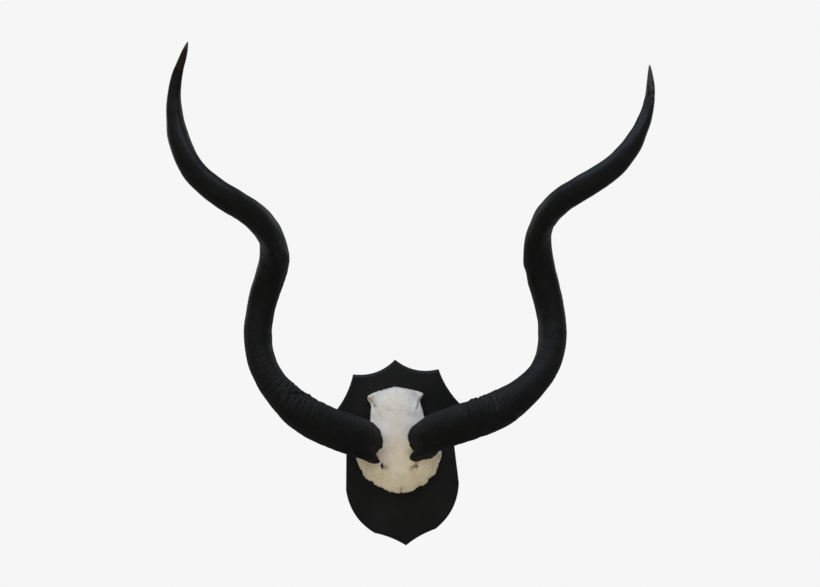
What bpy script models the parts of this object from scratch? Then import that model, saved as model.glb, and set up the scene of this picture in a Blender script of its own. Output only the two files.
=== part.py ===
"""A pair of greater kudu horns on their skull plate, mounted on a black painted wooden shield.

Metres. +Z is up, -Y is towards the viewer and +X is the viewer's right. The origin is the middle of
the shield's flat back, halfway between its top and bottom points, so the wall is the plane y = 0.
"""

import math

import bmesh
import bpy
import numpy as np
from mathutils import Vector

# ---- Driving dimensions ----------------------------------------------------------------------

GAP = 0.0003  # left between two pieces that touch
PAST = 0.002  # how far a cutter runs past the face that it opens
WELD = 0.00001  # points nearer than this are one

# The shield. One half of its outline from the top point down: each corner (x, z), and how far the
# arc to the next corner bulges outwards (negative where the edge is hollow).
SHIELD_THICKNESS = 0.020
SHIELD_CHAMFER = 0.0045
SHIELD_HALF = (
    ((0.0000, 0.1860), -0.0110),  # top point, then a cove
    ((0.0860, 0.1615), -0.0060),  # upper corner, then the hollow shoulder
    ((0.1320, 0.0830), -0.0060),  # ear, then the hollow below it
    ((0.1085, 0.0060), 0.0000),  # waist, then a nearly straight side
    ((0.1133, -0.0680), 0.0120),  # belly, then its full curve
    ((0.0610, -0.1570), -0.0030),  # hip, then the ogee
    ((0.0000, -0.1860), 0.0000),  # bottom point
)
ARC_STEPS = 8

# The skull plate, sawn off flat at the back. The outline is given like the shield's, from the
# skull's own midline.
SKULL_MIDLINE_X = -0.0045
SKULL_HALF = (
    ((0.0000, 0.1320), 0.0030),  # middle of the nuchal crest
    ((0.0565, 0.1145), -0.0015),  # the crest's flared tip
    ((0.0485, 0.1030), -0.0010),  # notch below the tip
    ((0.0530, 0.0700), -0.0050),  # side of the braincase
    ((0.1040, 0.0540), 0.0050),  # pedicle under the horn, upper side
    ((0.1040, 0.0220), 0.0020),  # pedicle, lower side
    ((0.0850, 0.0030), 0.0000),  # brow, behind the horn
    ((0.0835, -0.0100), 0.0030),  # brow
    ((0.0720, -0.0440), 0.0030),  # the sawn brow edge, in ragged scallops
    ((0.0590, -0.0490), 0.0015),
    ((0.0520, -0.0590), 0.0030),
    ((0.0375, -0.0650), 0.0020),
    ((0.0180, -0.0743), 0.0015),
    ((0.0015, -0.0752), 0.0000),
    ((0.0000, -0.0697), 0.0000),  # notch at the frontal suture
)
SKULL_ARC_STEPS = 3
# Rounded masses make the bone's front: (x, z) of the centre, half width, half height, and how far
# it stands off the board. The pedicles have theirs under the two horns.
BRAINCASE = (0.000, 0.062, 0.060, 0.080, 0.054)
FRONTAL = (0.000, 0.018, 0.096, 0.105, 0.056)
PEDICLE_HALF_WIDTH = 0.050
PEDICLE_HEIGHT = 0.057
BONE_EDGE = 0.010  # thickness of the bone at its thin edges
MASS_BLEND = 8.0  # the higher, the sharper the valleys between the masses
TEMPLE_HOLLOW = (0.043, 0.099, 0.009, 0.014, 0.007)  # (x, z), half width, half height, depth
RELIEF_HALF_WIDTH = 0.132
RELIEF_Z = (-0.092, 0.138)
RELIEF_CELLS = (28, 25)
FORAMINA = {  # (x, z) from the midline, radius and depth
    "left": (-0.0352, -0.0170, 0.0030, 0.012),
    "right": (0.0322, -0.0205, 0.0027, 0.005),
}
CREASE_ANGLE = 40.0  # a bone edge sharper than this stays sharp

# The horns. Each centre line winds round an axis that splays outwards and leans forward. `coil` is
# the winding's radius at the base, halfway (as a Bezier weight) and at the tip. `start` is where on
# the winding the base is: 0 faces outwards, -90 faces the viewer. The eases are how much of the
# twist and of the rise comes early. Both are given for a horn on the right; `side` mirrors the left.
HORNS = {
    "horn_left": dict(
        side=-1,
        base=(0.074, -0.078, 0.039),
        splay=14.5,
        lean=27.9,
        rise=0.824,
        coil=(0.0696, 0.0326, 0.0478),
        turns=1.84,
        start=-183.0,
        twist_ease=0.01,
        rise_ease=0.12,
    ),
    "horn_right": dict(
        side=1,
        base=(0.053, -0.078, 0.033),
        splay=24.0,
        lean=21.1,
        rise=0.812,
        coil=(0.0780, 0.0519, 0.0324),
        turns=1.72,
        start=-195.0,
        twist_ease=0.13,
        rise_ease=0.20,
    ),
}
HORN_BODY = 0.054  # long diameter of the shaft before it tapers
HORN_FLARE = 0.027  # extra diameter at the base
HORN_FLARE_LENGTH = 0.17  # fraction of the length over which the flare falls to a third
HORN_TAPER = (3.8, 0.65)  # the higher the first, the later the taper; the second is its fullness
HORN_OVAL = 0.89  # short diameter over long
KEEL_LEAD = 84.0  # degrees by which the keel runs ahead of the winding's outer side
KEEL_HEIGHT = 0.11  # of the local radius
KEEL_WIDTH = 0.41  # radians round the section
KEEL_ROLL = 0.08  # more keel at the base, where it ends in a roll
KEEL_ROLL_LENGTH = 0.05
KEEL_FADE = 0.75  # fraction of the length where the keel has gone
HORN_ROOT = 0.045  # length carried on into the bone, then cut to the bone's shape
HORN_RINGS = 66
HORN_SIDES = 18

# Two keyhole plates let into the shield's back, and their pan-head screws.
HANGER_X = 0.055
HANGER_Z = 0.110
HANGER_WIDTH = 0.016
HANGER_HEIGHT = 0.048
HANGER_THICKNESS = 0.002
HANGER_RECESS = 0.0043
HANGER_RECESS_MARGIN = 0.0005
HANGER_CORNER = 0.003
KEYHOLE_ENTRY_RADIUS = 0.0055
KEYHOLE_SLOT_WIDTH = 0.0054
KEYHOLE_ENTRY_Z = -0.006  # from the plate's middle
KEYHOLE_SLOT_TOP_Z = 0.010
HEAD_POCKET = (0.013, 0.027, 0.0065)  # width, height and depth of the room for the wall screw's head
HANGER_SCREW_Z = 0.0195
HANGER_SCREW = dict(head_radius=0.0035, head=0.0014, shank_radius=0.0016, length=0.0120)

# Three pan-head screws from behind hold the skull plate to the shield.
SKULL_SCREW_PLACES = ((0.000, 0.092), (-0.036, -0.028), (0.036, -0.028))
SKULL_SCREW = dict(head_radius=0.0045, head=0.0032, shank_radius=0.0022, length=0.0430)
COUNTERBORE_RADIUS = 0.0052
COUNTERBORE_DEPTH = 0.005
SCREW_SIDES = 14
PAN_HEAD = (0.8, 0.6)  # the flat top's radius and the upright side's height, as parts of the head's
SCREW_POINT = 2.0  # length of the point, in shank radii
DRIVE_SLOT = (0.0010, 0.5)  # width, and depth as a part of the head

SHIELD_FRONT_Y = -SHIELD_THICKNESS
BONE_BACK_Y = SHIELD_FRONT_Y - GAP


# ---- Collections, materials and small helpers ------------------------------------------------


def start_scene():
    """Clears the scene and gives the collection of parts and the collection of cutters."""
    for obj in list(bpy.data.objects):
        bpy.data.objects.remove(obj, do_unlink=True)
    parts = bpy.data.collections.new("mounted_kudu_horns")
    cutters = bpy.data.collections.new("cutters")
    bpy.context.scene.collection.children.link(parts)
    bpy.context.scene.collection.children.link(cutters)
    cutters.hide_render = True
    return parts, cutters


def linear(red, green, blue):
    """An on-screen colour, 0 to 255, as the linear values that a shader takes."""
    channels = []
    for value in (red, green, blue):
        part = value / 255
        channels.append(part / 12.92 if part <= 0.04045 else ((part + 0.055) / 1.055) ** 2.4)
    return (*channels, 1.0)


def material(name, colour, roughness, metallic=0.0):
    made = bpy.data.materials.new(name)
    made.use_nodes = True
    shader = made.node_tree.nodes["Principled BSDF"]
    shader.inputs["Base Color"].default_value = linear(*colour)
    shader.inputs["Roughness"].default_value = roughness
    shader.inputs["Metallic"].default_value = metallic
    made.diffuse_color = linear(*colour)
    return made


def black_paint():
    return material("black_paint", (27, 27, 24), 0.55)


def bone():
    return material("bone", (188, 178, 166), 0.60)


def horn_keratin():
    return material("horn_keratin", (30, 29, 28), 0.42)


def zinc_steel():
    return material("zinc_steel", (150, 152, 155), 0.35, metallic=1.0)


def add_object(name, mesh, collection, surface=None):
    obj = bpy.data.objects.new(name, mesh)
    collection.objects.link(obj)
    if surface:
        mesh.materials.clear()
        mesh.materials.append(surface)
    return obj


def as_cutter(obj):
    obj.hide_render = True
    obj.display_type = "WIRE"
    return obj


def cut(obj, cutter, operation="DIFFERENCE"):
    modifier = obj.modifiers.new(cutter.name, "BOOLEAN")
    modifier.object = cutter
    modifier.operation = operation
    modifier.solver = "EXACT"


def box_cutter(name, centre, size, cutters):
    bm = bmesh.new()
    bmesh.ops.create_cube(bm, size=1.0)
    bmesh.ops.scale(bm, vec=Vector(size), verts=bm.verts)
    mesh = bpy.data.meshes.new(name)
    bm.to_mesh(mesh)
    bm.free()
    obj = add_object(name, mesh, cutters)
    obj.location = centre
    return as_cutter(obj)


def hole_cutter(name, x, z, radius, y_from, y_to, cutters):
    """A round hole along Y, with the same flats as the screws."""
    bm = bmesh.new()
    bmesh.ops.create_cone(
        bm,
        cap_ends=True,
        segments=SCREW_SIDES,
        radius1=radius,
        radius2=radius,
        depth=abs(y_to - y_from),
    )
    mesh = bpy.data.meshes.new(name)
    bm.to_mesh(mesh)
    bm.free()
    obj = add_object(name, mesh, cutters)
    obj.rotation_euler = (math.radians(-90), 0, 0)
    obj.location = (x, (y_from + y_to) / 2, z)
    return as_cutter(obj)


# ---- Outlines and plates ---------------------------------------------------------------------


def arc(start, end, bulge, steps):
    """Points from start up to but without end, on an arc that stands `bulge` left of its chord."""
    if bulge == 0:
        return [start]
    start, end = np.array(start), np.array(end)
    chord = end - start
    length = math.hypot(*chord)
    along = chord / length
    left = np.array((-along[1], along[0]))
    radius = (length**2 / 4 + bulge**2) / (2 * bulge)
    centre = (start + end) / 2 + left * (bulge - radius)
    half_angle = math.asin(length / (2 * radius))
    points = []
    for step in range(steps):
        angle = half_angle * (2 * step / steps - 1)
        point = centre + radius * (left * math.cos(angle) + along * math.sin(angle))
        points.append((float(point[0]), float(point[1])))
    return points


def symmetric_outline(half, steps, middle_x=0.0):
    """Closes a half outline, given from its top corner to its bottom corner, with its mirror."""
    right = []
    for (corner, bulge), (following, _) in zip(half, half[1:]):
        right += arc(corner, following, bulge, steps)
    right.append(half[-1][0])
    left = [(-x, z) for x, z in reversed(right[1:-1])]
    return [(x + middle_x, z) for x, z in right + left]


def plate_mesh(name, loops, y_front, y_back, collection):
    """A flat plate from closed outlines in (x, z): the first is its edge, the others are holes."""
    curve = bpy.data.curves.new(name, "CURVE")
    curve.dimensions = "2D"
    curve.fill_mode = "BOTH"
    curve.extrude = (y_back - y_front) / 2
    for loop in loops:
        spline = curve.splines.new("POLY")
        spline.points.add(len(loop) - 1)
        for point, (x, z) in zip(spline.points, loop):
            point.co = (x, z, 0, 1)
        spline.use_cyclic_u = True
    flat = bpy.data.objects.new(name + "_outline", curve)
    flat.rotation_euler = (math.radians(90), 0, 0)
    flat.location = (0, (y_front + y_back) / 2, 0)
    collection.objects.link(flat)
    bpy.context.view_layer.update()
    evaluated = flat.evaluated_get(bpy.context.evaluated_depsgraph_get())
    mesh = bpy.data.meshes.new_from_object(evaluated)
    placed = flat.matrix_world.copy()
    bpy.data.objects.remove(flat, do_unlink=True)
    bm = bmesh.new()
    bm.from_mesh(mesh)
    bmesh.ops.remove_doubles(bm, verts=bm.verts, dist=WELD)
    bm.to_mesh(mesh)
    bm.free()
    return mesh, placed


def chamfer_front(mesh, width):
    """Chamfers the edge round a plate's front, which is local +Z before the plate is stood up."""
    bm = bmesh.new()
    bm.from_mesh(mesh)
    flat = [edge for edge in bm.edges if edge.calc_face_angle(0) < WELD]
    bmesh.ops.dissolve_edges(bm, edges=flat, use_verts=False)
    front = max(vert.co.z for vert in bm.verts)
    rim = [edge for edge in bm.edges if all(abs(v.co.z - front) < WELD for v in edge.verts)]
    bmesh.ops.bevel(bm, geom=rim, offset=width, segments=1, affect="EDGES")
    bm.to_mesh(mesh)
    bm.free()


# ---- The shield ------------------------------------------------------------------------------


def make_shield(parts, cutters):
    outline = symmetric_outline(SHIELD_HALF, ARC_STEPS)
    mesh, placed = plate_mesh("shield", [outline], SHIELD_FRONT_Y, 0.0, parts)
    chamfer_front(mesh, SHIELD_CHAMFER)
    shield = add_object("shield", mesh, parts, black_paint())
    shield.matrix_world = placed

    recess_floor = -HANGER_RECESS
    for name, x in (("left", -HANGER_X), ("right", HANGER_X)):
        recess_size = (
            HANGER_WIDTH + 2 * HANGER_RECESS_MARGIN,
            2 * HANGER_RECESS,
            HANGER_HEIGHT + 2 * HANGER_RECESS_MARGIN,
        )
        cut(shield, box_cutter(f"recess_{name}", (x, 0, HANGER_Z), recess_size, cutters))
        width, height, depth = HEAD_POCKET
        pocket_z = HANGER_Z + (KEYHOLE_ENTRY_Z + KEYHOLE_SLOT_TOP_Z) / 2
        pocket_size = (width, 2 * depth, height)
        pocket = box_cutter(f"pocket_{name}", (x, recess_floor, pocket_z), pocket_size, cutters)
        cut(shield, pocket)
        for end, z in (("low", -HANGER_SCREW_Z), ("high", HANGER_SCREW_Z)):
            pilot = hole_cutter(
                f"pilot_{name}_{end}",
                x,
                HANGER_Z + z,
                HANGER_SCREW["shank_radius"] + GAP,
                recess_floor + PAST,
                -HANGER_THICKNESS - HANGER_SCREW["length"],
                cutters,
            )
            cut(shield, pilot)
    for number, (x, z) in enumerate(SKULL_SCREW_PLACES, start=1):
        x = x + SKULL_MIDLINE_X
        bore = hole_cutter(
            f"counterbore_{number}", x, z, COUNTERBORE_RADIUS, PAST, -COUNTERBORE_DEPTH, cutters
        )
        cut(shield, bore)
        clearance = SKULL_SCREW["shank_radius"] + GAP
        through = hole_cutter(
            f"clearance_{number}", x, z, clearance, PAST, SHIELD_FRONT_Y - PAST, cutters
        )
        cut(shield, through)
    return shield


# ---- The skull plate -------------------------------------------------------------------------


def rounded_mass(x, z, mass):
    """How far one ellipsoid stands off the board at (x, z); 0 outside it."""
    centre_x, centre_z, half_width, half_height, height = mass
    inside = 1 - ((x - centre_x) / half_width) ** 2 - ((z - centre_z) / half_height) ** 2
    return height * math.sqrt(max(inside, 0.0))


def pedicle(shape):
    """The swelling of the bone under one horn."""
    base_x, _, base_z = shape["base"]
    centre_x = shape["side"] * base_x - SKULL_MIDLINE_X
    return centre_x, base_z, PEDICLE_HALF_WIDTH, PEDICLE_HALF_WIDTH, PEDICLE_HEIGHT


def bone_height(x, z):
    """How far the bone's front stands off the board at (x, z) from the skull's midline.

    The braincase, the frontal bone, the two pedicles and the thin edge, blended by a smooth maximum,
    less the hollow of the temple.
    """
    masses = [BRAINCASE, FRONTAL] + [pedicle(shape) for shape in HORNS.values()]
    heights = [rounded_mass(x, z, mass) for mass in masses] + [BONE_EDGE]
    height = sum(part**MASS_BLEND for part in heights) ** (1 / MASS_BLEND)
    hollow_x, hollow_z, half_width, half_height, depth = TEMPLE_HOLLOW
    off_centre = ((abs(x) - hollow_x) / half_width) ** 2 + ((z - hollow_z) / half_height) ** 2
    return height - depth * math.exp(-off_centre)


def relief_mesh(name, lift, y_back):
    """A block with the bone's front on it, `lift` further out, wider and taller than the bone.

    It is triangles, so that two such blocks have the same facets and keep their distance.
    """
    bm = bmesh.new()
    columns, rows = RELIEF_CELLS
    bmesh.ops.create_grid(bm, x_segments=columns, y_segments=rows, size=1.0)
    middle_z = sum(RELIEF_Z) / 2
    half_z = (RELIEF_Z[1] - RELIEF_Z[0]) / 2
    for vert in bm.verts:
        x = vert.co.x * RELIEF_HALF_WIDTH
        z = middle_z + vert.co.y * half_z
        vert.co = (x + SKULL_MIDLINE_X, BONE_BACK_Y - bone_height(x, z) - lift, z)
    extruded = bmesh.ops.extrude_face_region(bm, geom=bm.faces[:])
    for vert in [item for item in extruded["geom"] if isinstance(item, bmesh.types.BMVert)]:
        vert.co.y = y_back
    bmesh.ops.triangulate(bm, faces=bm.faces, quad_method="FIXED")
    bmesh.ops.recalc_face_normals(bm, faces=bm.faces)
    mesh = bpy.data.meshes.new(name)
    bm.to_mesh(mesh)
    bm.free()
    return mesh


def make_skull_plate(parts, cutters):
    skull = add_object("skull_plate", relief_mesh("skull_plate", 0, BONE_BACK_Y), parts, bone())
    outline = symmetric_outline(SKULL_HALF, SKULL_ARC_STEPS, SKULL_MIDLINE_X)
    front = BONE_BACK_Y - 2 * FRONTAL[4]
    mesh, placed = plate_mesh("skull_outline", [outline], front, 0.0, cutters)
    prism = as_cutter(add_object("skull_outline", mesh, cutters))
    prism.matrix_world = placed
    cut(skull, prism, "INTERSECT")
    for number, (x, z) in enumerate(SKULL_SCREW_PLACES, start=1):
        pilot = hole_cutter(
            f"bone_pilot_{number}",
            x + SKULL_MIDLINE_X,
            z,
            SKULL_SCREW["shank_radius"] + GAP,
            0.0,
            -COUNTERBORE_DEPTH - GAP - SKULL_SCREW["length"],
            cutters,
        )
        cut(skull, pilot)
    for name, (x, z, radius, depth) in FORAMINA.items():
        surface_y = BONE_BACK_Y - bone_height(x, z)
        foramen = hole_cutter(
            f"foramen_{name}",
            x + SKULL_MIDLINE_X,
            z,
            radius,
            surface_y - PAST,
            surface_y + depth,
            cutters,
        )
        cut(skull, foramen)
    skull.data.shade_smooth()
    skull.data.set_sharp_from_angle(angle=math.radians(CREASE_ANGLE))
    return skull


# ---- The horns -------------------------------------------------------------------------------


def unit(vectors):
    return vectors / np.linalg.norm(vectors, axis=-1, keepdims=True)


def horn_path(shape, samples=400):
    """The centre line and keel directions of a horn on the right, from the base to the tip.

    A winding round a leaning axis: the angle grows by `turns`, the radius follows a Bezier curve
    through `coil`, and the height grows by `rise`.
    """
    splay = math.radians(shape["splay"])
    lean = math.radians(shape["lean"])
    axis = np.array(
        (
            math.sin(splay),
            -math.sin(lean) * math.cos(splay),
            math.cos(lean) * math.cos(splay),
        )
    )
    outward = unit(np.array((1.0, 0.0, 0.0)) - axis[0] * axis)
    backward = np.cross(axis, outward)

    t = np.linspace(0, 1, samples)
    early = t * (1 - t)
    twist = math.radians(shape["start"]) + 2 * math.pi * shape["turns"] * (
        t + shape["twist_ease"] * early
    )
    at_base, halfway, at_tip = shape["coil"]
    radius = at_base * (1 - t) ** 2 + 2 * halfway * early + at_tip * t**2
    height = shape["rise"] * (t + shape["rise_ease"] * early)

    def winding(angle):
        return np.cos(angle)[:, None] * outward + np.sin(angle)[:, None] * backward

    points = height[:, None] * axis + radius[:, None] * winding(twist)
    points += np.array(shape["base"]) - points[0]
    keel = winding(twist + math.radians(KEEL_LEAD))
    return points, keel


def horn_rings(shape):
    """Where the horn's sections go: centres, tangents, keel directions and lengths as fractions."""
    points, keel = horn_path(shape)
    steps = np.linalg.norm(np.diff(points, axis=0), axis=1)
    length = np.concatenate(([0.0], np.cumsum(steps)))
    root = points[0] - unit(points[1] - points[0]) * HORN_ROOT
    points = np.vstack((root, points))
    keel = np.vstack((keel[0], keel))
    length = np.concatenate(([-HORN_ROOT], length))
    wanted = np.linspace(-HORN_ROOT, length[-1], HORN_RINGS + 1)
    centres = np.stack([np.interp(wanted, length, points[:, i]) for i in range(3)], axis=1)
    keel = np.stack([np.interp(wanted, length, keel[:, i]) for i in range(3)], axis=1)
    tangents = unit(np.gradient(centres, axis=0))
    keel = unit(keel - np.sum(keel * tangents, axis=1, keepdims=True) * tangents)
    return centres, tangents, keel, wanted / length[-1]


def horn_section(fraction, angles):
    """The radius round one section, at angles from the keel: an oval with a soft ridge on it."""
    along = max(fraction, 0.0)
    late, fullness = HORN_TAPER
    body = HORN_BODY * (1 - along**late) ** fullness
    diameter = body + HORN_FLARE * math.exp(-along / HORN_FLARE_LENGTH)
    oval = 0.5 * diameter / np.sqrt(np.cos(angles) ** 2 + (np.sin(angles) / HORN_OVAL) ** 2)
    keel = KEEL_HEIGHT * max(1 - along / KEEL_FADE, 0.0) ** 0.5
    keel += KEEL_ROLL * math.exp(-((along / KEEL_ROLL_LENGTH) ** 2))
    return oval * (1 + keel * np.exp(-((angles / KEEL_WIDTH) ** 2)))


def make_horn(name, shape, skull_relief, parts, surface):
    """A loft of keeled ovals along the winding, ending in a point and cut to the bone at its base."""
    centres, tangents, keel, fractions = horn_rings(shape)
    across = np.cross(tangents, keel)
    angles = np.linspace(-math.pi, math.pi, HORN_SIDES, endpoint=False)
    mirror = Vector((shape["side"], 1, 1))
    bm = bmesh.new()
    rings = []
    for ring in range(HORN_RINGS):
        radius = horn_section(fractions[ring], angles)
        offsets = np.outer(radius * np.cos(angles), keel[ring])
        offsets += np.outer(radius * np.sin(angles), across[ring])
        places = [Vector(centres[ring] + offset) * mirror for offset in offsets]
        rings.append([bm.verts.new(place) for place in places])
    tip = bm.verts.new(Vector(centres[-1]) * mirror)
    for lower, upper in zip(rings, rings[1:]):
        for side in range(HORN_SIDES):
            following = (side + 1) % HORN_SIDES
            bm.faces.new((lower[side], lower[following], upper[following], upper[side]))
    for side in range(HORN_SIDES):
        bm.faces.new((rings[-1][side], rings[-1][(side + 1) % HORN_SIDES], tip))
    bm.faces.new(rings[0])
    bmesh.ops.recalc_face_normals(bm, faces=bm.faces)
    mesh = bpy.data.meshes.new(name)
    bm.to_mesh(mesh)
    bm.free()
    horn = add_object(name, mesh, parts, surface)
    mesh.shade_smooth()
    cut(horn, skull_relief)
    return horn


# ---- The hardware behind ---------------------------------------------------------------------


def circle_loop(x, z, radius, steps=16, start=0.0, sweep=360.0):
    """Points on a circle or, with its last point, on an arc; angles in degrees, 0 along +X."""
    count = steps if sweep == 360.0 else steps + 1
    turns = [math.radians(start + sweep * step / steps) for step in range(count)]
    return [(x + radius * math.cos(turn), z + radius * math.sin(turn)) for turn in turns]


def keyhole_loop(x, z):
    """The entry hole with the slot above it, as one outline."""
    half = KEYHOLE_SLOT_WIDTH / 2
    opening = math.degrees(math.asin(half / KEYHOLE_ENTRY_RADIUS))
    entry = circle_loop(
        x, z + KEYHOLE_ENTRY_Z, KEYHOLE_ENTRY_RADIUS, 14, 90 + opening, 360 - 2 * opening
    )
    top = circle_loop(x, z + KEYHOLE_SLOT_TOP_Z, half, 8, 0, 180)
    return entry + top


def rounded_rectangle(x, z, width, height, corner):
    loop = []
    for sign_x, sign_z, start in ((1, 1, 0), (-1, 1, 90), (-1, -1, 180), (1, -1, 270)):
        centre_x = x + sign_x * (width / 2 - corner)
        centre_z = z + sign_z * (height / 2 - corner)
        loop += circle_loop(centre_x, centre_z, corner, 4, start, 90)
    return loop


def make_hanger(name, x, parts, surface):
    """A keyhole plate, lying in its recess with room behind it for the screw heads."""
    front = -HANGER_RECESS + GAP
    loops = [rounded_rectangle(x, HANGER_Z, HANGER_WIDTH, HANGER_HEIGHT, HANGER_CORNER)]
    loops.append(keyhole_loop(x, HANGER_Z))
    for z in (-HANGER_SCREW_Z, HANGER_SCREW_Z):
        radius = HANGER_SCREW["shank_radius"] + GAP
        loops.append(circle_loop(x, HANGER_Z + z, radius, SCREW_SIDES))
    mesh, placed = plate_mesh(name, loops, front, front + HANGER_THICKNESS, parts)
    hanger = add_object(name, mesh, parts, surface)
    hanger.matrix_world = placed
    return hanger


def make_screw(name, place, size, parts, cutters, surface):
    """A pan-head screw driven from behind: a turned profile with a slot across the head.

    `place` is the middle of the head's underside.
    """
    head, head_radius = size["head"], size["head_radius"]
    shank_radius, length = size["shank_radius"], size["length"]
    point = SCREW_POINT * shank_radius
    top_radius, side_height = PAN_HEAD
    profile = (
        (0, head),
        (head_radius * top_radius, head),
        (head_radius, head * side_height),
        (head_radius, 0),
        (shank_radius, 0),
        (shank_radius, point - length),
        (0, -length),
    )
    bm = bmesh.new()
    verts = [bm.verts.new((radius, 0, z)) for radius, z in profile]
    for upper, lower in zip(verts, verts[1:]):
        bm.edges.new((upper, lower))
    mesh = bpy.data.meshes.new(name)
    bm.to_mesh(mesh)
    bm.free()
    screw = add_object(name, mesh, parts, surface)
    screw.rotation_euler = (math.radians(-90), 0, 0)
    screw.location = place
    turning = screw.modifiers.new("turned", "SCREW")
    turning.steps = SCREW_SIDES
    turning.render_steps = SCREW_SIDES
    turning.use_merge_vertices = True
    turning.merge_threshold = 0.0001
    width, depth = DRIVE_SLOT
    slot_size = (3 * head_radius, 2 * depth * head, width)
    slot_place = (place[0], place[1] + head, place[2])
    cut(screw, box_cutter(f"{name}_slot", slot_place, slot_size, cutters))
    return screw


def make_hangers(parts, cutters):
    steel = zinc_steel()
    number = 0
    for name, x in (("hanger_left", -HANGER_X), ("hanger_right", HANGER_X)):
        make_hanger(name, x, parts, steel)
        under_head = -HANGER_RECESS + GAP + HANGER_THICKNESS + GAP
        for z in (HANGER_SCREW_Z, -HANGER_SCREW_Z):
            number += 1
            place = (x, under_head, HANGER_Z + z)
            screw_name = f"hanger_screw_{number}"
            make_screw(screw_name, place, HANGER_SCREW, parts, cutters, steel)


def make_skull_screws(parts, cutters):
    steel = zinc_steel()
    for number, (x, z) in enumerate(SKULL_SCREW_PLACES, start=1):
        place = (x + SKULL_MIDLINE_X, -COUNTERBORE_DEPTH + GAP, z)
        make_screw(f"skull_screw_{number}", place, SKULL_SCREW, parts, cutters, steel)


# ---- The whole mount -------------------------------------------------------------------------


def main():
    parts, cutters = start_scene()
    make_shield(parts, cutters)
    make_skull_plate(parts, cutters)
    relief = relief_mesh("skull_relief", GAP, 0.0)
    skull_relief = as_cutter(add_object("skull_relief", relief, cutters))
    keratin = horn_keratin()
    for name, shape in HORNS.items():
        make_horn(name, shape, skull_relief, parts, keratin)
    make_hangers(parts, cutters)
    make_skull_screws(parts, cutters)


main()
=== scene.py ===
"""The looks of a pair of greater kudu horns on their skull plate, on a black painted shield.

Metres. +Z is up, -Y is towards the viewer and +X is the viewer's right. The wall is the plane y = 0.
The sections follow the mount as it is put together: the board, the bone, the two horns, the steel
behind them, and last the room, the lights and the camera.
"""

import math

import bmesh
import bpy
import numpy as np
from mathutils import Matrix, Vector


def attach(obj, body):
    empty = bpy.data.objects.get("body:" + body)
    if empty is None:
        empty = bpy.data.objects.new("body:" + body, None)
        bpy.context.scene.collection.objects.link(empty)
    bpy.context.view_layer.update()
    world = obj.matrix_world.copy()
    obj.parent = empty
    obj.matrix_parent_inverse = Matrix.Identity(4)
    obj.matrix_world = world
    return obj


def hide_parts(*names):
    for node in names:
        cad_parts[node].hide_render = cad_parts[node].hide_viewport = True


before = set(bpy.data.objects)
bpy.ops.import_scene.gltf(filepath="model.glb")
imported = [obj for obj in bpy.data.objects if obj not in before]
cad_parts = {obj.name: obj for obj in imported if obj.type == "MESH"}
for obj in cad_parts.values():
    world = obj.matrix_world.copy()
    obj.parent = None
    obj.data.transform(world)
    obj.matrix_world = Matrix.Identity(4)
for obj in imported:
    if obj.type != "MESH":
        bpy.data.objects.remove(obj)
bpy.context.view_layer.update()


# ==== The board ===========================================
# A softwood board sawn to the outline of a heraldic shield. Its front edge is chamfered with a
# router, its arrises are eased with sandpaper, and it is brushed with black satin paint.

board_thickness = 0.02
board_chamfer = 0.0045
board_arris = 0.0006  # radius that the sandpaper leaves
board_uneven = 0.00012  # how far its sides and front are from flat
board_half = (  # (x, z) of each corner from the top point down, and how far its arc bulges outwards
    ((0.0, 0.186), -0.011),
    ((0.086, 0.1615), -0.006),
    ((0.132, 0.083), -0.006),
    ((0.1085, 0.006), 0.0),
    ((0.1133, -0.068), 0.012),
    ((0.061, -0.157), -0.003),
    ((0.0, -0.186), 0.0),
)
board_chamfer_rows = (  # parts of the chamfer: how far inwards a row is, and how far from the front
    (0.0, 0.98), (0.04, 0.93), (0.2, 0.8), (0.5, 0.5), (0.8, 0.2), (0.96, 0.05),
)
board_front_rows = (  # at the front's arris: the part of its radius inwards, and metres from the front
    (0.0, 0.00008), (0.45, 0.00002), (1.0, 0.0),
)
hanger_places = (-0.055, 0.055)  # x of the two keyhole plates
hanger_height = 0.11  # z of their middles
plate_recess = (0.017, 0.0086, 0.049)  # width, twice its depth, and height
head_pocket = (0.013, 0.013, 0.027)  # behind the plate, for the head of the wall's screw
head_pocket_middle = (-0.0043, 0.002)  # its y, and how far it is above the plate's middle
screw_places = ((-0.0045, 0.092), (-0.0405, -0.028), (0.0315, -0.028))  # (x, z) of the bone's screws
screw_head_bore = (0.0052, -0.005, 0.001)  # radius, and y from and to
screw_shank_bore = (0.0025, -0.021, -0.004)


class Value:
    """One output of a finish's nodes. Each sum written with it adds its Math node."""

    def __init__(self, finish, socket):
        self.finish, self.socket = finish, socket

    def _math(self, operation, first, second):
        return self.finish.node("Math", {"operation": operation}, {0: first, 1: second})

    def __add__(self, other):
        return self._math("ADD", self, other)

    def __sub__(self, other):
        return self._math("SUBTRACT", self, other)

    def __rsub__(self, other):
        return self._math("SUBTRACT", other, self)

    def __mul__(self, other):
        return self._math("MULTIPLY", self, other)

    __radd__, __rmul__ = __add__, __mul__

    def rising(self, low, high):
        """0 up to low, 1 from high on, and a smooth rise between."""
        settings = {"interpolation_type": "SMOOTHSTEP"}
        return self.finish.node("MapRange", settings, {0: self, 1: low, 2: high})


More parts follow.
